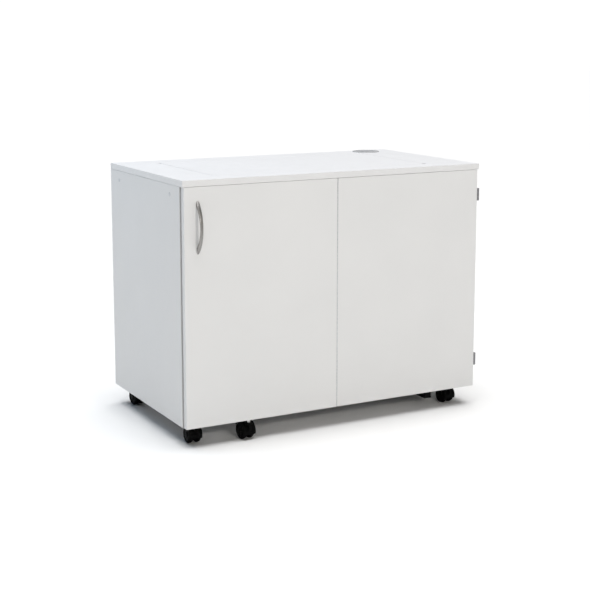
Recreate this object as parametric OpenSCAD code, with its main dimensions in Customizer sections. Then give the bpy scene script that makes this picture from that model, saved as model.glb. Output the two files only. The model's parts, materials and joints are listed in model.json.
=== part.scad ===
// Sewing-machine cabinet on castors: flush infill lid, sprung machine platform, folding front door.
// Origin: on the floor, under the middle of the overall outline. +X right, +Y to the back, +Z up.

/* [Cabinet] */
// Width of the worktop
worktop_w = 1000; // [980:10:1100]
// Depth of the worktop, which the closed door's face is flush with
worktop_d = 560; // [560:10:620]
// Height of the worktop above the floor
worktop_h = 770; // [760:5:800]
// Thickness of every board
board = 18; // [17:1:19]

/* [Worktop] */
// Width of the opening that the infill lid closes
lid_w = 720; // [680:10:740]
// Depth of the opening that the infill lid closes
lid_d = 395; // [380:5:400]
// Gap between the infill lid and the worktop
lid_gap = 1.5; // [0.8:0.1:2]
// Diameter of the finger notch at two corners of the opening
notch_d = 14; // [10:1:18]
// Diameter of the cable grommet's flange
grommet_d = 90; // [88:1:92]

/* [Door] */
// Gap between the carcass and the closed door, filled by the hinge leaves
hinge_gap = 4; // [4:0.5:5]
// Gap between the two door panels
fold_gap = 3; // [3:0.5:4]
// Length of the bow handle
handle_l = 150; // [146:1:160]
// How far the bow handle stands off the door
handle_out = 30; // [28:1:34]
// Height of a knuckle hinge
hinge_h = 37; // [34:1:45]

/* [Lift] */
// Height of the platform's top when it is down
platform_z = 410; // [400:5:415]
// Diameter of the two guide columns
column_d = 20; // [18:1:22]

/* [Castors] */
// Diameter of a castor wheel
wheel_d = 50; // [49:0.5:50]
// Height of a castor from the floor to the board it carries
castor_h = 61; // [61:1:64]
// Distance from a castor's swivel axis to its wheel axis
trail = 20; // [19:1:21]
// Distance of each castor stem from the cabinet's middle
stem_x = 437; // [430:1:442]

/* [Hidden] */
$fn = 64;
cut = 1;                                   // how far a cutting tool runs past a face
rub = 0.3;                                 // gap between pieces that move past each other
running = 0.05;                            // radial clearance of a turning fit
snug = 0.02;                               // radial clearance of a fixed fit
screw_depth = 12;                          // how far wood screws go into a board
WHITE = [0.93, 0.93, 0.925];
STEEL = [0.62, 0.63, 0.64];
BLACK = [0.04, 0.04, 0.045];
GREY_PLASTIC = [0.72, 0.73, 0.74];

// Outline of the cabinet
half_w = worktop_w / 2;
inner_x = half_w - board;
front_y = -(worktop_d + handle_out) / 2 + handle_out;
back_y = front_y + worktop_d;
mid_y = (front_y + back_y) / 2;
door_back_y = front_y + board;
carcass_y = door_back_y + hinge_gap;
back_panel_y = back_y - board;
base_z = castor_h;
floor_top_z = base_z + board;
slab_z = worktop_h - board;
joint_line = 0.4;                             // open line between the upright panels and the worktop
panel_z1 = slab_z - joint_line;

// Worktop opening, its rails and ledges
lid_x = -10;
lid_x0 = lid_x - lid_w / 2;
lid_x1 = lid_x + lid_w / 2;
lid_y0 = mid_y - lid_d / 2;
lid_y1 = mid_y + lid_d / 2;
rail_h = 60;
ledge_h = 40;
front_rail_y1 = lid_y0 + board;
rear_rail_y0 = lid_y1 + 1.5;
ledge_y0 = rear_rail_y0 - board;
notches = [[lid_x0, lid_y1], [lid_x1, lid_y0]];
cap_r = 6;
cap_t = 1.2;
cap_z = slab_z - 29;
grommet_x = half_w - 104;
grommet_y = back_y - 55;
grommet_seat_z = worktop_h - 1;               // ledge in the ring that the cap turns on
cap_turn = 225;                               // where the cap's cable slot points
slot_in = 13;                                 // from the cap's centre to the slot's inner end
slot_half = 16;
slot_corner = 5;

// Steel bar that stiffens the floor panel
bar_x = 345;
bar_y = carcass_y + 29;
bar_w = 25;
bar_h = 36;
bar_t = 2;

// Door, its hinges and handle
door_head_gap = 0.8;
door_z0 = base_z;
door_z1 = slab_z - door_head_gap;
fold_x = -6;
door_x0 = -half_w + 3.5;
door_x1 = half_w - 5.5;
leaf_y = door_back_y + hinge_gap / 2;
axis_x = half_w + 9;
axis_y = door_back_y;
barrel_r = 5.5;
hinge_pin_r = 2.5;
leaf_w = 20;
hinge_zs = [base_z + 64, worktop_h - 117];
fold_n = 17;
fold_r = 1.4;
fold_pin_r = 0.6;
fold_leaf = 0.8;
fold_leaf_d = board - 1;
fold_z0 = door_z0 + 3;
fold_seg = (door_z1 - door_z0 - 6) / fold_n;
handle_x = -455;
handle_z = 637;
handle_w = 8;
handle_gap_l = handle_l - 34;
handle_t = 5;
handle_holes = 128;
handle_screw_r = 2;
catch_z = slab_z - 37;

// Machine lift
platform_x0 = lid_x0 + board + 3;
platform_x1 = lid_x1 - board - 3;
platform_y0 = front_rail_y1 + 3;
platform_y1 = ledge_y0 - 3;
plate_t = 4;
platform_screw_r = 2;
plate_y0 = platform_y1 - 7;
plate_y1 = plate_y0 + plate_t;
arm_z = platform_z - board;
plate_z0 = arm_z - 112;
column_x = 220;
column_y = back_panel_y - 23;
column_r = column_d / 2;
column_z0 = 225;
column_z1 = slab_z - 16;
bush_r = column_r + 3;
housing_r = bush_r + 5;
housing_h = 20;
housing_zs = [arm_z - 109, arm_z - 59];
collar_h = 9;
tine_x = 180;
tine_w = 30;
tine_y0 = platform_y0 + 32;
lock_away = 24;
lock_x = column_x - lock_away;
lock_z = (housing_zs[0] + housing_zs[1] + housing_h) / 2;
lock_r = 4;
cam_throw = 2.7;
cam_r = lock_away - column_r - rub - cam_throw;
shaft_z = slab_z - 36;
shaft_r = 6;
drum_x = 120;
drum_r = 20;
flange_r = 21.4;
tape_w = 24;
tape_t = 0.6;
tape_gap = 0.2;
tape_tab_z = arm_z - 56;

// Castors: front left, front right, rear left, rear right, door
wheel_r = wheel_d / 2;
castor_places = [
    [-stem_x - 14, carcass_y + 24, 0], [stem_x - 4, carcass_y + 24, 5],
    [-stem_x - 5, back_panel_y - 52, 8], [stem_x, back_panel_y - 52, -6],
    [-297, front_y + board / 2, 5]
];
castor_plate = 45;
castor_plate_t = 2.5;
castor_screw_xy = [-16, 16];
castor_screw_r = 2.2;
king_r = 4;
king_z0 = castor_h - 15;
boss_r = 11;
boss_z0 = 34;
web_half = 4;
wheel_in = web_half + 0.8;
wheel_w = 15.5;
hood_half = 21;
socket_r = 4.5;
socket_h = 25;
socket_drop = 8;                              // how far the door's socket stands out below the door
hood_r0 = wheel_r + 1.3;
hood_r1 = wheel_r + 3.6;
axle_r = 3;

// Points on an arc about c, from angle a0 to a1
function arc(c, r, a0, a1, n) =
    [for (i = [0:n]) let (a = a0 + (a1 - a0) * i / n) [c[0] + r * cos(a), c[1] + r * sin(a)]];

// A plain box from one corner to the other
module block(p0, p1) {
    translate(p0) cube(p1 - p0);
}

// Draws a 2D outline of (Y, Z) points as a plate across X
module across(x0, x1) {
    translate([x0, 0, 0]) rotate([90, 0, 90]) linear_extrude(x1 - x0) children();
}

// ---------- carcass ----------

module top_slab() {
    color(WHITE) difference() {
        block([-half_w, front_y, slab_z], [half_w, back_y, worktop_h]);
        block([lid_x0, lid_y0, slab_z - cut], [lid_x1, lid_y1, worktop_h + cut]);
        for (p = notches)
            translate([p[0], p[1], slab_z - cut]) cylinder(d = notch_d, h = board + 2 * cut);
        translate([grommet_x, grommet_y, slab_z - cut]) cylinder(r = 40, h = board + 2 * cut);
    }
}

module side_panel(side) {
    color(WHITE) block(
        [side < 0 ? -half_w : inner_x, carcass_y, base_z],
        [side < 0 ? -inner_x : half_w, back_y, panel_z1]);
}
module side_panel_left() { side_panel(-1); }
module side_panel_right() { side_panel(1); }

module back_panel() {
    color(WHITE) block([-inner_x, back_panel_y, base_z], [inner_x, back_y, panel_z1]);
}

module floor_panel() {
    color(WHITE) difference() {
        block([-inner_x, carcass_y, base_z], [inner_x, back_panel_y, floor_top_z]);
        at_castor_screws() translate([0, 0, base_z - cut])
            cylinder(r = castor_screw_r + snug, h = screw_depth + cut);
    }
}

// Front and rear rails under the worktop
module top_rails() {
    color(WHITE) for (y = [lid_y0, rear_rail_y0])
        block([-inner_x, y, slab_z - rail_h], [inner_x, y + board, slab_z]);
}

// Battens that the infill lid rests on, inside three edges of the opening
module lid_ledges() {
    color(WHITE) difference() {
        block([lid_x0, front_rail_y1, slab_z - ledge_h], [lid_x1, rear_rail_y0, slab_z]);
        block([lid_x0 + board, front_rail_y1 - cut, slab_z - ledge_h - cut],
              [lid_x1 - board, ledge_y0, slab_z + cut]);
    }
}

module screw_caps() {
    color(WHITE) for (side = [-1, 1]) for (y = [lid_y0, rear_rail_y0])
        translate([side * half_w, y + board / 2, cap_z]) rotate([0, side * 90, 0])
            cylinder(r1 = cap_r, r2 = cap_r - 0.8, h = cap_t);
}

module under_rail() {
    color(BLACK) difference() {
        block([bar_x, bar_y, base_z - bar_h], [bar_x + bar_w, back_panel_y, base_z]);
        block([bar_x + bar_t, bar_y + bar_t, base_z - bar_h + bar_t],
              [bar_x + bar_w - bar_t, back_panel_y + cut, base_z - bar_t]);
    }
}

// ---------- cable grommet ----------

module grommet_ring() {
    r = grommet_d / 2;
    z = worktop_h;
    tube_z = slab_z + 0.5;
    color(GREY_PLASTIC) translate([grommet_x, grommet_y, 0]) rotate_extrude()
        polygon([[31, z - 4], [31, grommet_seat_z], [33, grommet_seat_z], [33, z + 2], [34, z + 2.5],
                 [r - 2, z + 2.5], [r, z + 1.2], [r, z], [39.8, z], [39.8, tube_z],
                 [37, tube_z], [37, z - 4]]);
}

// Thin disc with a wide cable slot, open to the rim and rounded at its inner corners
module grommet_cap() {
    r = 32.6;
    t = 2.4;
    color(GREY_PLASTIC) translate([grommet_x, grommet_y, grommet_seat_z + rub]) rotate([0, 0, cap_turn])
        difference() {
            cylinder(r = r, h = t);
            translate([slot_in + slot_corner, -slot_half, -cut]) cube([r, 2 * slot_half, t + 2 * cut]);
            translate([slot_in, slot_corner - slot_half, -cut])
                cube([r, 2 * (slot_half - slot_corner), t + 2 * cut]);
            for (s = [-1, 1]) translate([slot_in + slot_corner, s * (slot_half - slot_corner), -cut])
                cylinder(r = slot_corner, h = t + 2 * cut);
        }
}

// ---------- infill lid ----------

module infill_lid() {
    color(WHITE) difference() {
        block([lid_x0 + lid_gap, lid_y0 + lid_gap, slab_z + rub],
              [lid_x1 - lid_gap, lid_y1 - lid_gap, worktop_h]);
        for (p = notches)
            translate([p[0], p[1], slab_z - cut]) cylinder(d = notch_d, h = board + 2 * cut);
    }
}

// ---------- front door and its hinges ----------

module door_panel_right() {
    color(WHITE) block([fold_x + fold_gap / 2, front_y, door_z0], [door_x1, door_back_y, door_z1]);
}

module door_panel_left() {
    color(WHITE) difference() {
        block([door_x0, front_y, door_z0], [fold_x - fold_gap / 2, door_back_y, door_z1]);
        handle_screw_holes(front_y - cut, door_back_y + cut, handle_screw_r + 0.25);
        translate([castor_places[4][0], castor_places[4][1], door_z0 - cut])
            cylinder(r = socket_r + snug, h = socket_h + 1 + cut);
    }
}

// One of a knuckle hinge's two leaves: knuckles in the height bands listed, leaf on one side of the axis
module hinge_leaf(y0, y1, bands, bore_r) {
    gap_r = barrel_r + rub;
    difference() {
        union() {
            translate([axis_x - leaf_w - gap_r, y0, 0]) cube([leaf_w, y1 - y0, hinge_h]);
            for (b = bands) {
                translate([axis_x - leaf_w, y0, b[0]]) cube([leaf_w, y1 - y0, b[1] - b[0]]);
                translate([axis_x, axis_y, b[0]]) cylinder(r = barrel_r, h = b[1] - b[0]);
            }
        }
        translate([axis_x, axis_y, -cut]) cylinder(r = bore_r, h = hinge_h + 2 * cut);
    }
}
knuckle = (hinge_h - 2 * rub) / 3;

module hinge_leaves_cabinet() {
    color(STEEL) for (z = hinge_zs) translate([0, 0, z])
        hinge_leaf(leaf_y + 0.2, carcass_y,
            [[0, knuckle], [hinge_h - knuckle, hinge_h]], hinge_pin_r + snug);
}

module hinge_leaves_door() {
    color(STEEL) for (z = hinge_zs) translate([0, 0, z])
        hinge_leaf(door_back_y, leaf_y - 0.2,
            [[knuckle + rub, hinge_h - knuckle - rub]], hinge_pin_r + running);
}

module hinge_pins() {
    color(STEEL) for (z = hinge_zs) translate([axis_x, axis_y, z - 1]) {
        cylinder(r = hinge_pin_r, h = hinge_h + 1);
        cylinder(r = barrel_r - 0.6, h = 1);
        translate([0, 0, hinge_h + 1]) cylinder(r1 = barrel_r - 0.4, r2 = barrel_r - 1.4, h = 1);
    }
}

// One leaf of the continuous hinge between the door panels; side is -1 for the left leaf
module fold_leaf(side, bore_r) {
    x_in = fold_gap / 2 - fold_leaf;
    own = side < 0 ? 1 : 0;
    translate([fold_x, front_y, fold_z0]) difference() {
        union() {
            translate([side < 0 ? -fold_gap / 2 : x_in, fold_r + 0.4, 0])
                cube([fold_leaf, fold_leaf_d - fold_r - 0.4, fold_seg * fold_n]);
            for (i = [own:2:fold_n - 1]) translate([0, 0, i * fold_seg + rub / 2]) {
                cylinder(r = fold_r, h = fold_seg - rub, $fn = 32);
                translate([side < 0 ? -fold_gap / 2 : x_in, 0, 0])
                    cube([fold_leaf, fold_r + 1, fold_seg - rub]);
            }
        }
        translate([0, 0, -cut]) cylinder(r = bore_r, h = fold_seg * fold_n + 2 * cut, $fn = 32);
    }
}
module fold_leaf_right() { color(STEEL) fold_leaf(1, fold_pin_r + snug); }
module fold_leaf_left() { color(STEEL) fold_leaf(-1, fold_pin_r + running); }
module fold_pin() {
    color(STEEL) translate([fold_x, front_y, fold_z0])
        cylinder(r = fold_pin_r, h = fold_seg * fold_n, $fn = 32);
}

// Circle segment of a chord and a rise, as a 2D outline standing on the door's face
module bow(chord, rise, n) {
    r = (pow(chord / 2, 2) + rise * rise) / (2 * rise);
    half = asin(chord / 2 / r);
    polygon(arc([rise - r, 0], r, -half, half, n));
}

module handle_screw_holes(y0, y1, r) {
    for (s = [-1, 1]) translate([handle_x, y0, handle_z + s * handle_holes / 2])
        rotate([-90, 0, 0]) cylinder(r = r, h = y1 - y0);
}

module handle() {
    color(STEEL) difference() {
        translate([handle_x, front_y, handle_z]) rotate([0, 0, -90]) rotate([90, 0, 0])
            difference() {
                linear_extrude(handle_w, center = true) bow(handle_l, handle_out, 24);
                linear_extrude(handle_w + 2 * cut, center = true)
                    bow(handle_gap_l, handle_out - handle_t, 24);
                for (x = [-2, 0, 2]) translate([0, 0, x]) linear_extrude(0.8, center = true)
                    difference() {
                        translate([cut, 0]) bow(handle_l, handle_out, 24);
                        translate([-0.6, 0]) bow(handle_l, handle_out, 24);
                    }
            }
        handle_screw_holes(front_y - 6, front_y + cut, handle_screw_r + snug);
    }
}

module handle_screws() {
    color(STEEL) {
        handle_screw_holes(front_y - 5.5, door_back_y, handle_screw_r);
        handle_screw_holes(door_back_y, door_back_y + 2.2, 4.2);
    }
}

// Plastic socket in the door's lower edge, with the stem that its castor turns on
module door_castor_socket() {
    color(WHITE) translate([castor_places[4][0], castor_places[4][1], 0]) {
        translate([0, 0, door_z0 - socket_drop]) cylinder(r = socket_r, h = socket_h + socket_drop);
        translate([0, 0, king_z0]) cylinder(r = king_r, h = door_z0 - king_z0);
    }
}

module magnet_catch() {
    color(BLACK) block([-inner_x, leaf_y, catch_z], [-inner_x + 15, leaf_y + 40, catch_z + 14]);
}

module strike_plate() {
    color(STEEL) block([-inner_x + 1, door_back_y, catch_z - 3],
                       [-inner_x + 17, leaf_y - 0.4, catch_z + 17]);
}

// ---------- machine lift ----------

module guide_columns() {
    color(STEEL) for (s = [-1, 1]) translate([s * column_x, column_y, column_z0])
        cylinder(r = column_r, h = column_z1 - column_z0);
}

module column_collars() {
    z = housing_zs[0] - rub - collar_h;
    color(BLACK) for (s = [-1, 1]) translate([s * column_x, column_y, z]) difference() {
        cylinder(r = column_r + 6, h = collar_h);
        translate([0, 0, -cut]) cylinder(r = column_r + snug, h = collar_h + 2 * cut);
    }
}

// Blocks on the back panel that hold the columns' ends and the lift shaft
module lift_brackets() {
    color(STEEL) {
        for (s = [-1, 1]) for (z = [column_z0, column_z1 - 24])
            difference() {
                block([s * column_x - 20, column_y - column_r - 5, z],
                      [s * column_x + 20, back_panel_y, z + 24]);
                translate([s * column_x, column_y, z - cut])
                    cylinder(r = column_r + snug, h = 24 + 2 * cut);
            }
        for (s = [-1, 1]) difference() {
            block([s * (drum_x + 32) - 6, column_y - 14, shaft_z - 14],
                  [s * (drum_x + 32) + 6, back_panel_y, shaft_z + 14]);
            translate([s * (drum_x + 32) - 6 - cut, column_y, shaft_z]) rotate([0, 90, 0])
                cylinder(r = shaft_r + running, h = 12 + 2 * cut);
        }
    }
}

module lift_shaft() {
    color(STEEL) translate([-drum_x - 46, column_y, shaft_z]) rotate([0, 90, 0])
        cylinder(r = shaft_r, h = 2 * drum_x + 92);
}

// Spring drums that wind the lift tapes in as the platform rises
module lift_drums() {
    color(BLACK) for (s = [-1, 1]) translate([s * drum_x, column_y, shaft_z]) rotate([0, 90, 0])
        rotate_extrude() polygon([
            [shaft_r + snug, -18], [flange_r, -18], [flange_r, -tape_w / 2 - 1],
            [drum_r, -tape_w / 2 - 1], [drum_r, tape_w / 2 + 1], [flange_r, tape_w / 2 + 1],
            [flange_r, 18], [shaft_r + snug, 18]]);
}

module lift_tapes() {
    y1 = column_y - drum_r - tape_gap;
    color(STEEL) for (s = [-1, 1])
        block([s * drum_x - tape_w / 2, y1 - tape_t, tape_tab_z + rub],
              [s * drum_x + tape_w / 2, y1, shaft_z]);
}

module platform_board() {
    color(WHITE) difference() {
        block([platform_x0, platform_y0, arm_z], [platform_x1, platform_y1, platform_z]);
        at_platform_screws() translate([0, 0, arm_z - cut])
            cylinder(r = platform_screw_r + snug, h = screw_depth + cut);
    }
}

module carriage_frame() {
    color(BLACK) difference() {
        union() {
            block([-column_x - 25, plate_y0, plate_z0], [column_x + 25, plate_y1, arm_z]);
            for (s = [-1, 1]) {
                block([s * tine_x - tine_w / 2, tine_y0, arm_z - plate_t],
                      [s * tine_x + tine_w / 2, plate_y0, arm_z]);
                across(s * tine_x - plate_t / 2, s * tine_x + plate_t / 2)
                    polygon([[tine_y0, arm_z - plate_t], [tine_y0, arm_z - 12],
                             [plate_y0 - 60, arm_z - 40], [plate_y0, arm_z - 90],
                             [plate_y0, arm_z - plate_t]]);
                block([s * drum_x - 15, plate_y1, tape_tab_z - plate_t],
                      [s * drum_x + 15, column_y - drum_r + 4, tape_tab_z]);
            }
            block([lock_x - 12, tine_y0, lock_z - 12],
                  [lock_x + 12, tine_y0 + plate_t, arm_z - plate_t]);
            block([tine_x - tine_w / 2, tine_y0, arm_z - plate_t],
                  [lock_x + 12, tine_y0 + tine_w, arm_z]);
        }
        translate([lock_x, tine_y0 - cut, lock_z]) rotate([-90, 0, 0])
            cylinder(r = lock_r + running, h = plate_y1 - tine_y0 + 2 * cut);
        at_platform_screws() translate([0, 0, arm_z - plate_t - cut])
            cylinder(r = platform_screw_r + 0.5, h = plate_t + 2 * cut);
    }
}

module at_platform_screws() {
    for (s = [-1, 1]) for (y = [tine_y0 + 20, mid_y, plate_y0 - 30])
        translate([s * tine_x + 9, y, 0]) children();
}

module platform_screws() {
    head = 2.4;
    color(STEEL) at_platform_screws() translate([0, 0, arm_z - plate_t - head]) {
        cylinder(r = 4, h = head);
        cylinder(r = platform_screw_r, h = head + plate_t + screw_depth - 1);
    }
}

module bush_housings() {
    color(STEEL) for (s = [-1, 1]) for (z = housing_zs) difference() {
        union() {
            block([s * column_x - 11, plate_y1, z + 3],
                  [s * column_x + 11, column_y, z + housing_h - 3]);
            translate([s * column_x, column_y, z]) cylinder(r = housing_r, h = housing_h);
        }
        translate([s * column_x, column_y, z - cut])
            cylinder(r = bush_r + snug, h = housing_h + 2 * cut);
    }
}

module bushes() {
    color("ivory") for (s = [-1, 1]) for (z = housing_zs)
        translate([s * column_x, column_y, z]) difference() {
            cylinder(r = bush_r, h = housing_h);
            translate([0, 0, -cut]) cylinder(r = column_r + running, h = housing_h + 2 * cut);
        }
}

// Rod under the platform: a cam on its back end grips the right column, a lever on its front end frees it
module lock_rod() {
    y0 = tine_y0 - 22;
    color(STEEL) {
        translate([lock_x, y0, lock_z]) rotate([-90, 0, 0]) cylinder(r = lock_r, h = column_y + 8 - y0);
        translate([lock_x + cam_throw, column_y - 5, lock_z]) rotate([-90, 0, 0])
            cylinder(r = cam_r, h = 10);
        translate([lock_x, y0 + 6, lock_z]) rotate([-90, 0, 0]) cylinder(r = 9, h = 6);
        block([lock_x - 6, y0 + 6, lock_z - 48], [lock_x + 6, y0 + 12, lock_z]);
    }
}

module lock_grip() {
    y0 = tine_y0 - 16;
    color(BLACK) difference() {
        block([lock_x - 9, y0 - 4, lock_z - 80], [lock_x + 9, y0 + 10, lock_z - 34]);
        block([lock_x - 6 - snug, y0 - snug, lock_z - 48 - snug],
              [lock_x + 6 + snug, y0 + 6 + snug, lock_z - 34 + cut]);
    }
}

// ---------- castors ----------

module at_castor(i) {
    translate([castor_places[i][0], castor_places[i][1], 0]) rotate([0, 0, castor_places[i][2]])
        children();
}

module castor_plates() {
    p = castor_plate / 2;
    color(STEEL) for (i = [0:3]) translate([castor_places[i][0], castor_places[i][1], 0])
        difference() {
            union() {
                block([-p, -p, castor_h - castor_plate_t], [p, p, castor_h]);
                translate([0, 0, king_z0]) cylinder(r = king_r, h = castor_h - king_z0);
            }
            for (x = castor_screw_xy) for (y = castor_screw_xy)
                translate([x, y, castor_h - castor_plate_t - cut])
                    cylinder(r = castor_screw_r + 0.2, h = castor_plate_t + 2 * cut);
        }
}

module at_castor_screws() {
    for (i = [0:3]) for (x = castor_screw_xy) for (y = castor_screw_xy)
        translate([castor_places[i][0] + x, castor_places[i][1] + y, 0]) children();
}

module castor_screws() {
    head = 2;
    color(STEEL) at_castor_screws() translate([0, 0, castor_h - castor_plate_t - head]) {
        cylinder(r1 = 3.2, r2 = 4, h = head);
        cylinder(r = castor_screw_r, h = head + castor_plate_t + screw_depth - 1);
    }
}

module castor_yoke(boss_z1 = castor_h - castor_plate_t - rub) {
    color(BLACK) difference() {
        union() {
            translate([0, 0, boss_z0]) cylinder(r = boss_r, h = boss_z1 - boss_z0);
            across(-web_half, web_half) polygon(concat(
                [[-boss_r, boss_z1], [-boss_r, boss_z0 - 4]],
                arc([trail, wheel_r], 9, 230, 360, 8),
                [[trail + 17, wheel_r + 14], [trail + 4, wheel_r + hood_r1 - 1]]));
            across(-hood_half, hood_half) translate([trail, wheel_r]) polygon(concat(
                arc([0, 0], hood_r1, 42, 172, 20), arc([0, 0], hood_r0, 172, 42, 20)));
        }
        for (s = [-1, 1]) translate([s < 0 ? -hood_half - cut : web_half, trail, wheel_r])
            rotate([0, 90, 0]) cylinder(r = wheel_r + 0.9, h = hood_half - web_half + cut);
        translate([0, 0, king_z0 - 0.5]) cylinder(r = king_r + running, h = 30);
        translate([-web_half - cut, trail, wheel_r]) rotate([0, 90, 0])
            cylinder(r = axle_r + snug, h = 2 * (web_half + cut));
    }
}

module castor_axle() {
    half = wheel_in + wheel_w - 2.5;
    color(STEEL) translate([-half, trail, wheel_r]) rotate([0, 90, 0])
        cylinder(r = axle_r, h = 2 * half);
}

// One wheel: a rounded tread, a shallow dish in the outer face and a blind hub bore
module castor_wheel(side) {
    color(BLACK) translate([side * wheel_in, trail, wheel_r]) rotate([0, side * 90, 0])
        rotate_extrude() polygon(concat(
            [[axle_r + running, 0]],
            arc([wheel_r - 4, 4], 4, -90, 0, 5),
            arc([wheel_r - 5, wheel_w - 5], 5, 0, 90, 6),
            [[wheel_r - 7, wheel_w], [wheel_r - 8, wheel_w - 1.2], [8, wheel_w - 1.2],
             [7, wheel_w], [0, wheel_w], [0, wheel_w - 2], [axle_r + running, wheel_w - 2]]));
}

module castor_yoke_front_left() { at_castor(0) castor_yoke(); }
module castor_axle_front_left() { at_castor(0) castor_axle(); }
module castor_wheel_a_front_left() { at_castor(0) castor_wheel(-1); }
module castor_wheel_b_front_left() { at_castor(0) castor_wheel(1); }
module castor_yoke_front_right() { at_castor(1) castor_yoke(); }
module castor_axle_front_right() { at_castor(1) castor_axle(); }
module castor_wheel_a_front_right() { at_castor(1) castor_wheel(-1); }
module castor_wheel_b_front_right() { at_castor(1) castor_wheel(1); }
module castor_yoke_rear_left() { at_castor(2) castor_yoke(); }
module castor_axle_rear_left() { at_castor(2) castor_axle(); }
module castor_wheel_a_rear_left() { at_castor(2) castor_wheel(-1); }
module castor_wheel_b_rear_left() { at_castor(2) castor_wheel(1); }
module castor_yoke_rear_right() { at_castor(3) castor_yoke(); }
module castor_axle_rear_right() { at_castor(3) castor_axle(); }
module castor_wheel_a_rear_right() { at_castor(3) castor_wheel(-1); }
module castor_wheel_b_rear_right() { at_castor(3) castor_wheel(1); }
module castor_yoke_door() { at_castor(4) castor_yoke(door_z0 - socket_drop - rub); }
module castor_axle_door() { at_castor(4) castor_axle(); }
module castor_wheel_a_door() { at_castor(4) castor_wheel(-1); }
module castor_wheel_b_door() { at_castor(4) castor_wheel(1); }

top_slab();
side_panel_left();
side_panel_right();
back_panel();
floor_panel();
top_rails();
lid_ledges();
screw_caps();
grommet_ring();
hinge_leaves_cabinet();
hinge_pins();
under_rail();
castor_plates();
castor_screws();
guide_columns();
column_collars();
lift_brackets();
lift_tapes();
magnet_catch();
door_panel_right();
hinge_leaves_door();
fold_leaf_right();
fold_pin();
door_panel_left();
fold_leaf_left();
handle();
handle_screws();
door_castor_socket();
strike_plate();
infill_lid();
grommet_cap();
platform_board();
carriage_frame();
bush_housings();
bushes();
platform_screws();
lock_rod();
lock_grip();
lift_shaft();
lift_drums();
castor_yoke_front_left();
castor_axle_front_left();
castor_wheel_a_front_left();
castor_wheel_b_front_left();
castor_yoke_front_right();
castor_axle_front_right();
castor_wheel_a_front_right();
castor_wheel_b_front_right();
castor_yoke_rear_left();
castor_axle_rear_left();
castor_wheel_a_rear_left();
castor_wheel_b_rear_left();
castor_yoke_rear_right();
castor_axle_rear_right();
castor_wheel_a_rear_right();
castor_wheel_b_rear_right();
castor_yoke_door();
castor_axle_door();
castor_wheel_a_door();
castor_wheel_b_door();
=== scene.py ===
"""Looks for the sewing table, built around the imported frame.

Boards, screw caps, door handle, hinges, cable grommet, castors and machine lift, then floor, light and
camera.
"""

import json
import math

import bmesh
import bpy
from mathutils import Matrix, Vector

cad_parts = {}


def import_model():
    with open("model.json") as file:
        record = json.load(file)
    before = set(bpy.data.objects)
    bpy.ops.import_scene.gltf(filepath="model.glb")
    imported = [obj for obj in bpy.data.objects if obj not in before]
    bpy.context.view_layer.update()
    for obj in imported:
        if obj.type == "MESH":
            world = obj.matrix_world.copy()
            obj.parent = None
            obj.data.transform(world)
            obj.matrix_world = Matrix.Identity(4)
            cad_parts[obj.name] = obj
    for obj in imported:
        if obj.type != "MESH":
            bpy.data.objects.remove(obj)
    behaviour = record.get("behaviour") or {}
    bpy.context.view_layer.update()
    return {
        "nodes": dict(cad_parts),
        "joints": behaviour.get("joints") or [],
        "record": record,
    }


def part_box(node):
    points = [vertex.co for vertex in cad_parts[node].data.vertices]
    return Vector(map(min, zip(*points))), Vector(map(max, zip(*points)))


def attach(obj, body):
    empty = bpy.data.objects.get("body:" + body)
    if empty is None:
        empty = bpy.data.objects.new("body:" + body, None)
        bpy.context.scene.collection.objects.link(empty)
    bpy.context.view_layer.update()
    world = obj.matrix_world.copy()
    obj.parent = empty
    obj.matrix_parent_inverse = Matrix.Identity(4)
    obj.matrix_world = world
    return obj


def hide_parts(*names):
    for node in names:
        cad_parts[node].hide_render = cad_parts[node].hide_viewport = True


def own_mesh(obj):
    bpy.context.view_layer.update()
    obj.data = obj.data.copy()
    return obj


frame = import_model()
NODES = frame["nodes"]
JOINTS = {joint["name"]: joint for joint in frame["joints"]}
BODY_OF = {node: body for body, nodes in frame["record"]["behaviour"]["bodies"].items() for node in nodes}
MM = 0.001


# ---------- materials ----------


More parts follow.
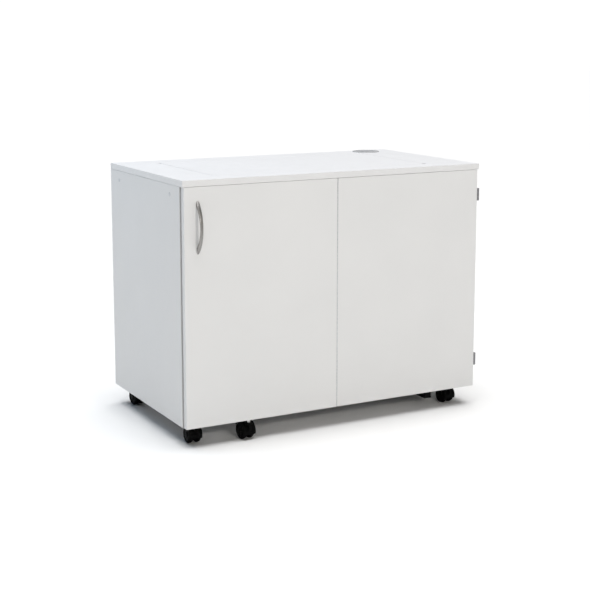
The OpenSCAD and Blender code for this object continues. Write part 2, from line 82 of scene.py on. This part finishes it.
class Shader:
    """A material's node tree, with short names for the few node kinds that the materials use."""

    def __init__(self, name, colour, roughness, metallic=0.0, specular=0.5):
        self.material = bpy.data.materials.new(name)
        self.material.use_nodes = True
        self.tree = self.material.node_tree
        self.surface = self.tree.nodes["Principled BSDF"]
        self.material.diffuse_color = (*colour, 1)
        self.set("Base Color", (*colour, 1))
        self.set("Roughness", roughness)
        self.set("Metallic", metallic)
        self.set("Specular IOR Level", specular)
        self.coords = self.tree.nodes.new("ShaderNodeTexCoord").outputs["Object"]

    def set(self, socket, value):
        self.surface.inputs[socket].default_value = value

    def link(self, output, socket):
        self.tree.links.new(output, self.surface.inputs[socket])

    def noise(self, scale, detail=3.0, stretch=(1, 1, 1), rough=0.5):
        """Noise of scale features per metre, finer or coarser along each axis by stretch."""
        mapping = self.tree.nodes.new("ShaderNodeMapping")
        mapping.inputs["Scale"].default_value = stretch
        self.tree.links.new(self.coords, mapping.inputs["Vector"])
        node = self.tree.nodes.new("ShaderNodeTexNoise")
        node.inputs["Scale"].default_value = scale
        node.inputs["Detail"].default_value = detail
        node.inputs["Roughness"].default_value = rough
        self.tree.links.new(mapping.outputs["Vector"], node.inputs["Vector"])
        return node.outputs["Fac"]

    def spread(self, value, low, high, start=0.3, end=0.7):
        """value, from start to end, mapped onto low to high."""
        node = self.tree.nodes.new("ShaderNodeMapRange")
        node.inputs["From Min"].default_value = start
        node.inputs["From Max"].default_value = end
        node.inputs["To Min"].default_value = low
        node.inputs["To Max"].default_value = high
        self.tree.links.new(value, node.inputs["Value"])
        return node.outputs["Result"]

    def tint(self, factor, first, second):
        node = self.tree.nodes.new("ShaderNodeMix")
        node.data_type = "RGBA"
        self.tree.links.new(factor, node.inputs["Factor"])
        node.inputs["A"].default_value = (*first, 1)
        node.inputs["B"].default_value = (*second, 1)
        return node.outputs["Result"]

    def bump(self, height, strength, distance, below=None):
        node = self.tree.nodes.new("ShaderNodeBump")
        node.inputs["Strength"].default_value = strength
        node.inputs["Distance"].default_value = distance
        self.tree.links.new(height, node.inputs["Height"])
        if below is not None:
            self.tree.links.new(below, node.inputs["Normal"])
        return node.outputs["Normal"]


def melamine(name, colour, shade):
    """White melamine face: a fine orange-peel emboss, a slow drift of tone and a soft satin gloss."""
    s = Shader(name, colour, 0.42, specular=0.45)
    drift = s.spread(s.noise(5, 4), 0, 1)
    s.link(s.tint(drift, colour, shade), "Base Color")
    s.link(s.spread(s.noise(60, 5), 0.38, 0.48), "Roughness")
    ripple = s.bump(s.noise(260, 2), 0.10, 0.0003)
    s.link(s.bump(s.noise(1500, 3), 0.16, 0.00012, ripple), "Normal")
    return s.material


def edge_band(name, tone):
    """Plastic edging, a little smoother than the board's face."""
    s = Shader(name, (tone, tone, tone - 0.005), 0.34, specular=0.5)
    light, dark = (tone + 0.005,) * 3, (tone - 0.013,) * 3
    s.link(s.tint(s.spread(s.noise(40, 4), 0, 1), light, dark), "Base Color")
    s.link(s.bump(s.noise(500, 2), 0.08, 0.0002), "Normal")
    return s.material


def metal(name, colour, dark, roughness, stretch, grain=900):
    """Metal with brush marks or rolling marks drawn out along the axis with the smallest stretch."""
    s = Shader(name, colour, roughness, metallic=1.0)
    marks = s.noise(grain, 4, stretch, 0.6)
    s.link(s.tint(s.spread(marks, 0, 1), dark, colour), "Base Color")
    s.link(s.spread(marks, roughness + 0.10, roughness - 0.06), "Roughness")
    s.link(s.bump(marks, 0.22, 0.00008), "Normal")
    return s.material


def zinc():
    """Bright zinc plate: cloudy passivation over pressed steel."""
    s = Shader("zinc_plate", (0.62, 0.63, 0.64), 0.34, metallic=1.0)
    clouds = s.noise(180, 5, rough=0.65)
    s.link(s.tint(s.spread(clouds, 0, 1), (0.50, 0.51, 0.53), (0.68, 0.69, 0.69)), "Base Color")
    s.link(s.spread(s.noise(420, 3), 0.28, 0.46), "Roughness")
    s.link(s.bump(s.noise(1600, 2), 0.12, 0.00006), "Normal")
    return s.material


def plastic(name, colour, shade, roughness, grain=1400, depth=0.00010, specular=0.5):
    """Moulded plastic with a spark-eroded grain and faint scuffs."""
    s = Shader(name, colour, roughness, specular=specular)
    s.link(s.tint(s.spread(s.noise(90, 5), 0, 1), colour, shade), "Base Color")
    s.link(s.spread(s.noise(240, 5, rough=0.7), roughness - 0.07, roughness + 0.10), "Roughness")
    s.link(s.bump(s.noise(grain, 2), 0.25, depth), "Normal")
    return s.material


def powder_coat():
    """Black powder coat on steel."""
    s = Shader("powder_coat", (0.003, 0.003, 0.003), 0.5, specular=0.06)
    patches = s.spread(s.noise(35, 5), 0, 1)
    s.link(s.tint(patches, (0.002, 0.002, 0.002), (0.005, 0.005, 0.005)), "Base Color")
    s.link(s.bump(s.noise(1100, 3), 0.35, 0.00015), "Normal")
    return s.material


BOARD = melamine("melamine", (0.750, 0.750, 0.745), (0.730, 0.731, 0.727))
# The worktop and lid take a lighter, bluer copy of the board melamine: painted light, standing for the
# brighter cool light that falls on the top.
TOP_PAINTED_LIGHT = melamine("melamine_top_painted_light", (0.768, 0.771, 0.785), (0.751, 0.754, 0.768))
EDGE = edge_band("edge_band", 0.75)
# Darker grey edging for the side panels' front edges: painted shade for the strip that the door keeps in
# shadow.
SIDE_EDGE_PAINTED_SHADE = edge_band("side_front_edge_painted_shade", 0.58)
HANDLE_STEEL = metal("brushed_nickel", (0.44, 0.43, 0.42), (0.30, 0.29, 0.28), 0.38, (1, 1, 0.02))
HINGE_STEEL = metal("hinge_steel", (0.30, 0.30, 0.31), (0.20, 0.20, 0.21), 0.36, (1, 1, 0.10))
GROUND_STEEL = metal("ground_steel", (0.70, 0.71, 0.72), (0.56, 0.57, 0.58), 0.22, (1, 1, 0.05))
SHAFT_STEEL = metal("turned_steel", (0.70, 0.71, 0.72), (0.56, 0.57, 0.58), 0.24, (0.05, 1, 1))
SPRING_STEEL = metal("spring_steel", (0.50, 0.52, 0.55), (0.36, 0.38, 0.42), 0.26, (1, 1, 0.03))
ZINC = zinc()
HOOD = plastic("castor_hood", (0.002, 0.002, 0.002), (0.005, 0.005, 0.005), 0.30, specular=0.03)
WHEEL = plastic("castor_wheel", (0.002, 0.002, 0.002), (0.005, 0.005, 0.005), 0.28, 900, specular=0.03)
TYRE = plastic("castor_tyre", (0.003, 0.003, 0.003), (0.006, 0.006, 0.006), 0.45, 700, 0.0002,
               specular=0.03)
WHITE_PLASTIC = plastic("white_plastic", (0.78, 0.78, 0.77), (0.74, 0.745, 0.74), 0.38)
CAP_PLASTIC = plastic("cap_plastic", (0.67, 0.675, 0.69), (0.65, 0.655, 0.67), 0.40)
# Near-black for the grommet's bore: painted shade for the dark inside of the tube.
BORE_PAINTED_SHADE = plastic("grommet_bore_painted_shade", (0.02, 0.02, 0.021), (0.03, 0.03, 0.031), 0.5, specular=0.1)
GREY_PLASTIC = plastic("grommet_plastic", (0.47, 0.475, 0.485), (0.41, 0.415, 0.43), 0.36)
BLACK_PLASTIC = plastic("black_plastic", (0.020, 0.020, 0.022), (0.032, 0.032, 0.034), 0.42)
IVORY = plastic("bush_plastic", (0.70, 0.67, 0.58), (0.64, 0.61, 0.52), 0.40)
RUBBER = plastic("rubber", (0.028, 0.028, 0.030), (0.045, 0.045, 0.047), 0.68, 500, 0.0003)
POWDER = powder_coat()


# ---------- making pieces ----------


def place(name, mesh, node, materials, matrix=None):
    """Makes a mesh a piece of the object: it rides with the CAD node's body and stands for that node."""
    piece = bpy.data.objects.new(name, mesh)
    bpy.context.scene.collection.objects.link(piece)
    if matrix is not None:
        mesh.transform(matrix)
    for material in materials:
        mesh.materials.append(material)
    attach(piece, BODY_OF[node])
    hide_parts(node)
    return piece


def smooth(mesh, angle=35):
    """Smooth shading that keeps the edges sharper than angle, in degrees."""
    for face in mesh.polygons:
        face.use_smooth = True
    mesh.set_sharp_from_angle(angle=math.radians(angle))


def even_normals(piece):
    """Lets large flat faces set the shading, so that only the rounded edges curve."""
    modifier = piece.modifiers.new("even_normals", "WEIGHTED_NORMAL")
    modifier.keep_sharp = True
    modifier.weight = 80


def mesh_from(bm, name):
    """A mesh made of a bmesh, its faces turned outwards."""
    bmesh.ops.recalc_face_normals(bm, faces=bm.faces)
    mesh = bpy.data.meshes.new(name)
    bm.to_mesh(mesh)
    bm.free()
    return mesh


def round_edges(bm, width, segments=3, angle=30):
    """Rounds every edge sharper than angle, in degrees."""
    sharp = [e for e in bm.edges if e.is_manifold and e.calc_face_angle() > math.radians(angle)]
    bmesh.ops.bevel(bm, geom=sharp, offset=width, offset_type="OFFSET", segments=segments,
                    profile=0.5, affect="EDGES", clamp_overlap=True)


def softened(node, width, segments=3):
    """A CAD node's own shape as one clean mesh with rounded edges."""
    bm = bmesh.new()
    bm.from_mesh(NODES[node].data)
    bmesh.ops.remove_doubles(bm, verts=bm.verts, dist=2e-6)
    bmesh.ops.dissolve_limit(bm, angle_limit=math.radians(0.5), verts=bm.verts, edges=bm.edges)
    round_edges(bm, width, segments)
    return mesh_from(bm, node)


def softened_piece(node, name, materials, width=0.5 * MM, segments=2):
    """The CAD node itself, softened, as a piece."""
    mesh = softened(node, width, segments)
    piece = place(name, mesh, node, materials)
    smooth(mesh)
    even_normals(piece)
    return piece


def board(node, name, thickness_axis, face=None, arris=0.6 * MM, front=None):
    """A melamine board from its CAD node: rounded arrises, with plastic edging on its narrow faces."""
    mesh = softened(node, arris)
    piece = place(name, mesh, node, [face or BOARD, EDGE, front or EDGE])
    for polygon in mesh.polygons:
        if abs(polygon.normal[thickness_axis]) > 0.99:
            polygon.material_index = 0
        else:
            # Faces towards the front take the front material, which on the side panels is the darker
            # edging of painted shade.
            polygon.material_index = 2 if polygon.normal.y < -0.7 else 1
    smooth(mesh)
    even_normals(piece)
    return piece


def lathe(profile, steps=64, axis="Z", closed=True):
    """A bmesh turned from (radius, height) points about an axis.

    A closed profile's last point joins its first.
    """
    bm = bmesh.new()
    rings = []
    for r, h in profile:
        if r < 1e-7:
            rings.append([bm.verts.new((0, 0, h))] * steps)
        else:
            turn = [2 * math.pi * i / steps for i in range(steps)]
            rings.append([bm.verts.new((r * math.cos(a), r * math.sin(a), h)) for a in turn])
    pairs = list(zip(rings, rings[1:]))
    if closed:
        pairs.append((rings[-1], rings[0]))
    for low, high in pairs:
        for i in range(steps):
            j = (i + 1) % steps
            corners = list(dict.fromkeys([low[i], low[j], high[j], high[i]]))
            if len(corners) > 2:
                bm.faces.new(corners)
    turn = {"Z": Matrix.Identity(4), "X": Matrix.Rotation(math.pi / 2, 4, "Y"),
            "Y": Matrix.Rotation(-math.pi / 2, 4, "X")}[axis]
    bmesh.ops.transform(bm, matrix=turn, verts=bm.verts)
    return bm


def arc(centre, radius, start, end, steps):
    """Points on an arc, angles in degrees."""
    angles = [math.radians(start + (end - start) * i / steps) for i in range(steps + 1)]
    return [(centre[0] + radius * math.cos(a), centre[1] + radius * math.sin(a)) for a in angles]


def loft(rings, cap=True):
    """A bmesh skinned over rings of points, each ring closed and of one length."""
    bm = bmesh.new()
    made = [[bm.verts.new(p) for p in ring] for ring in rings]
    for low, high in zip(made, made[1:]):
        for i in range(len(low)):
            j = (i + 1) % len(low)
            bm.faces.new((low[i], low[j], high[j], high[i]))
    if cap:
        bm.faces.new(list(reversed(made[0])))
        bm.faces.new(made[-1])
    return bm


def merged(parts):
    """One bmesh holding the shells of several."""
    whole = bmesh.new()
    for part in parts:
        mesh = bpy.data.meshes.new("part")
        part.to_mesh(mesh)
        part.free()
        whole.from_mesh(mesh)
        bpy.data.meshes.remove(mesh)
    return whole


# ---------- boards ----------

X, Y, Z = 0, 1, 2
# The worktop and lid wear the lighter, bluer copy of the melamine, which is painted light.
board("top_slab", "worktop", Z, TOP_PAINTED_LIGHT, 0.3 * MM)
board("infill_lid", "lid", Z, TOP_PAINTED_LIGHT, 0.3 * MM)
# The side panels' front edges get the darker edging, which is painted shade.
board("side_panel_left", "left_side", X, arris=1.0 * MM, front=SIDE_EDGE_PAINTED_SHADE)
board("side_panel_right", "right_side", X, arris=1.0 * MM, front=SIDE_EDGE_PAINTED_SHADE)
board("back_panel", "back", Y)
board("floor_panel", "cabinet_floor", Z)
board("top_rails", "rails", Y)
board("lid_ledges", "ledges", X)
board("door_panel_left", "left_door", Y)
board("door_panel_right", "right_door", Y)
board("platform_board", "machine_platform", Z)


# ---------- screw caps ----------


SIDE_FACE = 500 * MM                   # from the middle to the side panels' outer faces
HALF_BOARD = 9 * MM


def screw_caps():
    """Pressed-in plastic caps with a domed face and a small rim."""
    low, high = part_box("screw_caps")
    front, back = (corner.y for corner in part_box("top_rails"))
    height = (low.z + high.z) / 2
    radius = (high.z - low.z) / 2
    parts = []
    for side, x in ((-1, low.x), (1, high.x)):
        face = side * SIDE_FACE
        proud = abs(x - face)
        profile = [(0, 0), (radius, 0), (radius, 0.35 * proud), (0.94 * radius, 0.75 * proud),
                   (0.86 * radius, 0.9 * proud), (0.5 * radius, proud), (0, proud)]
        for y in (front + HALF_BOARD, back - HALF_BOARD):
            cap = lathe(profile, 40, closed=False)
            turn = Matrix.Rotation(side * math.pi / 2, 4, "Y")
            bmesh.ops.transform(cap, matrix=Matrix.Translation((face, y, height)) @ turn, verts=cap.verts)
            parts.append(cap)
    mesh = mesh_from(merged(parts), "screw_caps")
    place("screw_covers", mesh, "screw_caps", [CAP_PLASTIC])
    smooth(mesh, 50)


screw_caps()


# ---------- door handle ----------


HANDLE_GROOVES = [-2 * MM, 0, 2 * MM]  # their places across the bow
GROOVE_HALF, GROOVE_DEEP = 0.6 * MM, 0.8 * MM
HANDLE_ARRIS = 0.7 * MM


def rise(z, half_chord, height):
    """Height at z of an arc that stands on a chord."""
    radius = (half_chord ** 2 + height ** 2) / (2 * height)
    return max(0.0, math.sqrt(max(0.0, radius ** 2 - z ** 2)) - (radius - height))


def rounding(x, half_w):
    """How far a rounded arris falls away at x."""
    inward = 1 - min(1.0, (half_w - abs(x)) / HANDLE_ARRIS)
    return HANDLE_ARRIS * (1 - math.sqrt(max(0.0, 1 - inward ** 2)))


def handle_points(half_w):
    """Where the bow's section has its points, from side to side."""
    across = [-half_w, -half_w + 0.3 * HANDLE_ARRIS, -half_w + HANDLE_ARRIS]
    for g in HANDLE_GROOVES:
        across += [g + part * GROOVE_HALF for part in (-1, -0.5, 0, 0.5, 1)]
    return across + [half_w - HANDLE_ARRIS, half_w - 0.3 * HANDLE_ARRIS, half_w]


def handle_ring(half_w, width, outer, inner):
    """The bow's section as (x, distance from the door), grooved on its front."""
    solid = outer - inner
    across = handle_points(half_w)
    ring = []
    for x in across:
        near = min(abs(x - g) for g in HANDLE_GROOVES)
        groove = min(GROOVE_DEEP, 0.4 * solid) * max(0.0, 1 - near / GROOVE_HALF)
        ring.append((x * width, outer - min(rounding(x, half_w) + groove, 0.9 * solid)))
    for x in reversed(across):
        lift = 0.6 * rounding(x, half_w) if inner > 0 else 0
        ring.append((x * width, inner + min(lift, 0.05 * solid)))
    return ring


def bow_handle():
    """The bow: two arcs meet in a point at each end, and three grooves run along its front."""
    low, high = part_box("handle")
    half_l, out, half_w = (high.z - low.z) / 2, high.y - low.y, (high.x - low.x) / 2
    door, middle = high.y, (low + high) / 2
    opening, thick, taper, tip = half_l - 17 * MM, 5 * MM, 13 * MM, 0.3
    steps = 96
    rings = []
    for i in range(steps + 1):
        z = -half_l * math.cos(math.pi * i / steps)
        outer = max(rise(z, half_l, out), 0.25 * MM)
        inner = min(rise(z, opening, out - thick), outer - 0.2 * MM)
        from_tip = min(1.0, (half_l - abs(z)) / taper)
        width = tip + (1 - tip) * math.sqrt(1 - (1 - from_tip) ** 2)
        ring = handle_ring(half_w, width, outer, inner)
        rings.append([(middle.x + x, door - y, middle.z + z) for x, y in ring])
    bm = loft(rings)
    bmesh.ops.remove_doubles(bm, verts=bm.verts, dist=1e-6)
    mesh = mesh_from(bm, "handle")
    place("bow_handle", mesh, "handle", [HANDLE_STEEL])
    smooth(mesh, 30)


bow_handle()
softened_piece("handle_screws", "handle_bolts", [ZINC], 0.25 * MM)


# ---------- hinges ----------

softened_piece("hinge_leaves_cabinet", "hinge_cabinet_leaves", [HINGE_STEEL], 0.3 * MM)
softened_piece("hinge_leaves_door", "hinge_door_leaves", [HINGE_STEEL], 0.3 * MM)
softened_piece("hinge_pins", "hinge_pintles", [HINGE_STEEL], 0.2 * MM)
softened_piece("fold_leaf_right", "fold_hinge_right", [ZINC], 0.1 * MM, 1)
softened_piece("fold_leaf_left", "fold_hinge_left", [ZINC], 0.1 * MM, 1)
softened_piece("fold_pin", "fold_hinge_pin", [GROUND_STEEL], 0.1 * MM, 1)
softened_piece("strike_plate", "catch_strike", [ZINC], 0.3 * MM)
softened_piece("magnet_catch", "catch_body", [BLACK_PLASTIC], 0.8 * MM)


# ---------- cable grommet ----------


def grommet():
    """Flanged ring let into the worktop, its bore painted near-black as shade, with a dished cap that has
    a rounded cable slot.
    """
    low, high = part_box("grommet_ring")
    middle, top = (low + high) / 2, high.z
    r = (high.x - low.x) / 2
    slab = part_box("top_slab")[1].z
    tube = 39.8 * MM
    profile = [(31 * MM, slab - 4 * MM), (31 * MM, slab - 1.3 * MM), (31.3 * MM, slab - MM),
               (32.8 * MM, slab - MM), (33 * MM, slab - 0.8 * MM)]
    profile += arc((34 * MM, top - 1 * MM), 1 * MM, 180, 90, 5)
    profile += arc((r - 2.2 * MM, top - 2.2 * MM), 2.2 * MM, 90, 0, 8)
    profile += [(r, slab), (tube, slab), (tube, low.z), (tube - 2.5 * MM, low.z), (37 * MM, slab - 4 * MM)]
    bm = lathe(profile, 96)
    bmesh.ops.transform(bm, matrix=Matrix.Translation((middle.x, middle.y, 0)), verts=bm.verts)
    mesh = mesh_from(bm, "grommet_ring")
    place("grommet_flange", mesh, "grommet_ring", [GREY_PLASTIC, BORE_PAINTED_SHADE])
    for polygon in mesh.polygons:
        # The bore below the worktop's face is painted near-black, as shade.
        polygon.material_index = 1 if polygon.center.z < slab - 1.2 * MM else 0
    smooth(mesh, 40)

    softened_piece("grommet_cap", "grommet_lid", [GREY_PLASTIC], 0.5 * MM, 3)


grommet()


# ---------- castors ----------

TRAIL, WHEEL_R = 20 * MM, 25 * MM      # from the king pin back to the axle, and the wheel's radius
HOOD_OUT = 28.6 * MM                   # the hood's outside radius about the axle
DOOR_BOSS_TOP = 52.7 * MM              # the door castor's boss ends under its socket
# The castors' names, as in the joints and nodes.
CASTORS = ["front_left", "front_right", "rear_left", "rear_right", "door"]


def castor_matrix(name):
    """Puts a castor's own frame, with its stem at the origin, where its joints are."""
    stem = JOINTS[f"castor_{name}_swivel"]["pos_m"]
    axle = JOINTS[f"castor_wheel_a_{name}_spin"]["axis"]
    turn = Matrix.Rotation(math.atan2(axle[1], axle[0]), 4, "Z")
    return Matrix.Translation((stem[0], stem[1], 0)) @ turn


def castor_hood():
    """The curved shell over both wheels: a crowned section with a lip down each side."""
    half, lip = 21.0 * MM, 23.2 * MM
    wall, corner = 1.6 * MM, 4 * MM
    front, back = 40, 196
    outer = [(-half, lip)]
    outer += [(-half + corner + x, HOOD_OUT - corner + y) for x, y in arc((0, 0), corner, 180, 90, 6)]
    outer += [(-9 * MM, HOOD_OUT + 0.15 * MM), (0, HOOD_OUT + 0.2 * MM)]
    outer += [(-x, r) for x, r in reversed(outer[:-1])]
    inner = [(x * (half - wall) / half * 0.985, r - wall if r > lip + MM else r)
             for x, r in reversed(outer)]
    section = outer + [(x, max(r, lip)) for x, r in inner]
    rings = []
    steps = 44
    for i in range(steps + 1):
        phi = math.radians(front + (back - front) * i / steps)
        rings.append([(x, TRAIL + r * math.cos(phi), WHEEL_R + r * math.sin(phi)) for x, r in section])
    return loft(rings)


def castor_web(top):
    """The plate between the wheels, and the boss that holds the king pin."""
    outline = [(-11 * MM, top - 0.3 * MM), (-11 * MM, 33 * MM), (-7 * MM, 27 * MM)]
    outline += arc((TRAIL, WHEEL_R), 9.5 * MM, 215, 360, 12)
    outline += [(TRAIL + 15 * MM, WHEEL_R + 17 * MM), (TRAIL + 5 * MM, WHEEL_R + 26.5 * MM),
                (11 * MM, top - 2 * MM), (11 * MM, top - 0.3 * MM)]
    half = 4 * MM
    bm = loft([[(x, y, z) for y, z in outline] for x in (-half, half)])
    round_edges(bm, 0.7 * MM, 2)
    boss = lathe([(0, 45 * MM), (9.2 * MM, 45 * MM), (10.2 * MM, 46 * MM), (11 * MM, 48 * MM),
                  (11 * MM, top - 0.8 * MM), (10.4 * MM, top), (5 * MM, top), (0, top)], 40, closed=False)
    return merged([bm, boss])


def castor_wheel_mesh(side):
    """One wheel: a soft tyre, a dished disc with a raised ring and a domed hub cap."""
    inner = 4.8 * MM
    width = 15.5 * MM
    tyre = arc((19 * MM, 6.2 * MM), 6 * MM, 275, 360, 8) + arc((18.2 * MM, 8.4 * MM), 6.8 * MM, 0, 76, 9)
    tyre += [(19.4 * MM, width - 0.5 * MM), (19.1 * MM, width - 1.2 * MM), (19.1 * MM, 0.4 * MM)]
    disc = [(3.05 * MM, 0), (18.6 * MM, 0), (19.3 * MM, 0.5 * MM), (19.3 * MM, width - 1.3 * MM),
            (18.4 * MM, width - 1.3 * MM), (18.0 * MM, width - 0.2 * MM), (16.8 * MM, width - 0.1 * MM),
            (16.2 * MM, width - 1.3 * MM), (14 * MM, width - 2.0 * MM), (9.5 * MM, width - 1.6 * MM),
            (8.9 * MM, width - 0.4 * MM), (8.0 * MM, width - 0.1 * MM), (4.5 * MM, width), (0, width),
            (0, width - 2.0 * MM), (3.05 * MM, width - 2.0 * MM)]
    parts = []
    for profile, closed in ((disc, True), (tyre, True)):
        parts.append(lathe(profile, 72, "X", closed=closed))
    faces = [len(p.faces) for p in parts]
    whole = merged(parts)
    shift = Matrix.Translation((side * inner, TRAIL, WHEEL_R)) @ Matrix.Scale(side, 4, (1, 0, 0))
    bmesh.ops.transform(whole, matrix=shift, verts=whole.verts)
    mesh = mesh_from(whole, "castor_wheel")
    for i, polygon in enumerate(mesh.polygons):
        polygon.material_index = 0 if i < faces[0] else 1
    return mesh


def castor_axle_mesh():
    """The spindle, chamfered at both ends."""
    half = 17.8 * MM
    end = 0.5 * MM
    r = 3 * MM
    profile = [(0, -half), (r - end, -half), (r, -half + end), (r, half - end), (r - end, half), (0, half)]
    bm = lathe(profile, 32, "X", closed=False)
    bmesh.ops.transform(bm, matrix=Matrix.Translation((0, TRAIL, WHEEL_R)), verts=bm.verts)
    return mesh_from(bm, "castor_axle")


def castors():
    """Every castor: housing, spindle and two wheels, each standing for its CAD node."""
    for name in CASTORS:
        where = castor_matrix(name)
        top = DOOR_BOSS_TOP if name == "door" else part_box(f"castor_yoke_{name}")[1].z
        yoke = mesh_from(merged([castor_hood(), castor_web(top)]), "castor_yoke")
        place(f"castor_housing_{name}", yoke, f"castor_yoke_{name}", [HOOD], where)
        smooth(yoke, 40)
        axle = castor_axle_mesh()
        place(f"castor_spindle_{name}", axle, f"castor_axle_{name}", [GROUND_STEEL], where)
        smooth(axle)
        for letter, side in (("a", -1), ("b", 1)):
            wheel = castor_wheel_mesh(side)
            place(f"castor_roller_{letter}_{name}", wheel, f"castor_wheel_{letter}_{name}",
                  [WHEEL, TYRE], where)
            smooth(wheel, 40)


castors()
softened_piece("castor_plates", "castor_mounting_plates", [ZINC], 0.4 * MM)
softened_piece("castor_screws", "castor_plate_screws", [ZINC], 0.2 * MM)
softened_piece("door_castor_socket", "door_castor_insert", [WHITE_PLASTIC], 0.5 * MM)
softened_piece("under_rail", "floor_stiffener", [POWDER], 0.8 * MM)


# ---------- machine lift ----------

softened_piece("guide_columns", "lift_columns", [GROUND_STEEL], 0.6 * MM)
softened_piece("column_collars", "stop_collars", [RUBBER], 0.6 * MM)
softened_piece("lift_brackets", "lift_bracket_blocks", [ZINC], 0.8 * MM)
softened_piece("lift_shaft", "drum_shaft", [SHAFT_STEEL], 0.5 * MM)
softened_piece("lift_drums", "spring_drums", [BLACK_PLASTIC], 0.6 * MM)
softened_piece("carriage_frame", "carriage", [POWDER], 0.6 * MM)
softened_piece("bush_housings", "carriage_bearings", [ZINC], 0.8 * MM)
softened_piece("bushes", "bearing_bushes", [IVORY], 0.3 * MM)
softened_piece("platform_screws", "platform_fixings", [ZINC], 0.3 * MM)
softened_piece("lock_rod", "lock_shaft", [SHAFT_STEEL], 0.4 * MM)
softened_piece("lock_grip", "lock_lever_grip", [BLACK_PLASTIC], 1.6 * MM, 4)


def lift_tapes():
    """Spring-steel tapes, cupped across their width, on a mesh of their own."""
    low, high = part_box("lift_tapes")
    half, bend, thick = 12 * MM, 0.25 * MM, 0.3 * MM
    parts = []
    for middle in (low.x + half, high.x - half):
        section = [(-half + 2 * half * i / 10) for i in range(11)]
        front = [(x, low.y + bend * (x / half) ** 2) for x in section]
        loop = front + [(x, y + thick) for x, y in reversed(front)]
        rings = [[(middle + x, y, low.z + (high.z - low.z) * k / 8) for x, y in loop] for k in range(9)]
        parts.append(loft(rings))
    mesh = mesh_from(merged(parts), "lift_tapes")
    piece = place("spring_tapes", mesh, "lift_tapes", [SPRING_STEEL])
    smooth(mesh, 40)
    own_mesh(piece)


lift_tapes()


# ---------- floor, light and camera ----------


def floor():
    """A wide pale floor that the white backdrop runs into."""
    bpy.ops.mesh.primitive_plane_add(size=60, location=(0, 0, 0))
    plane = bpy.context.object
    plane.name = "studio_floor"
    s = Shader("studio_floor", (0.80, 0.80, 0.80), 0.9, specular=0.1)
    drift = s.spread(s.noise(0.8, 2), 0, 1)
    s.link(s.tint(drift, (0.805, 0.805, 0.805), (0.795, 0.795, 0.795)), "Base Color")
    plane.data.materials.append(s.material)


def world(colour, strength, backdrop):
    """A soft white dome. The camera sees a plain white backdrop in its place."""
    sky = bpy.data.worlds.new("studio")
    bpy.context.scene.world = sky
    sky.use_nodes = True
    tree = sky.node_tree
    dome = tree.nodes["Background"]
    dome.inputs["Color"].default_value = (*colour, 1)
    dome.inputs["Strength"].default_value = strength
    seen = tree.nodes.new("ShaderNodeBackground")
    seen.inputs["Color"].default_value = (1, 1, 1, 1)
    seen.inputs["Strength"].default_value = backdrop
    path = tree.nodes.new("ShaderNodeLightPath")
    mix = tree.nodes.new("ShaderNodeMixShader")
    tree.links.new(path.outputs["Is Camera Ray"], mix.inputs[0])
    tree.links.new(dome.outputs[0], mix.inputs[1])
    tree.links.new(seen.outputs[0], mix.inputs[2])
    tree.links.new(mix.outputs[0], tree.nodes["World Output"].inputs["Surface"])


def shine(kind, name, towards, power, width, colour=(1, 1, 1), spot=(0, 0, 4)):
    """A lamp that the camera doesn't see.

    Width is a sun's spread in degrees, or a panel's size in metres.
    """
    data = bpy.data.lights.new(name, kind)
    data.energy = power
    data.color = colour
    if kind == "SUN":
        data.angle = math.radians(width)
    else:
        data.shape = "DISK"
        data.size = width
    lamp = bpy.data.objects.new(name, data)
    lamp.location = spot
    lamp.rotation_mode = "QUATERNION"
    lamp.rotation_quaternion = Vector(towards).to_track_quat("-Z", "Y")
    lamp.visible_camera = False
    bpy.context.scene.collection.objects.link(lamp)


def camera():
    """The main view: from the front left, a little above the worktop, through a long lens."""
    data = bpy.data.cameras.new("view")
    data.sensor_width = 36.0
    data.lens = 79.4
    data.shift_y = -0.10
    data.clip_end = 100
    eye = bpy.data.objects.new("view", data)
    eye.location = (-1.909, -3.537, 1.180)
    yaw, pitch = math.radians(28.28), math.radians(9.01)
    look = Vector((math.sin(yaw) * math.cos(pitch), math.cos(yaw) * math.cos(pitch), -math.sin(pitch)))
    eye.rotation_mode = "QUATERNION"
    eye.rotation_quaternion = look.to_track_quat("-Z", "Y")
    bpy.context.scene.collection.objects.link(eye)
    bpy.context.scene.camera = eye


floor()
world((1.0, 1.0, 1.0), 0.01, 1.05)
# The broad sun lights the worktop and softens the floor shadow. The small raised key lights the front
# and throws the handle's shadow.
shine("SUN", "overhead", (-0.01, 0.0, -1.0), 4.1, 60)
shine("AREA", "front_key", (-0.08, 1.0, -0.33), 42, 0.4, (1.0, 0.96, 0.90), spot=(-0.1, -4.1, 1.95))
shine("AREA", "right_fill", (-0.75, 0.65, -0.4), 2, 1.2, (0.95, 0.97, 1.0), spot=(2.3, -2.3, 1.9))
shine("AREA", "left_fill", (0.9, -0.35, -1.0), 3.6, 0.9, (0.44, 0.71, 1.0), spot=(-1.4, 0.4, 1.6))
camera()
bpy.context.scene.view_settings.view_transform = "Standard"
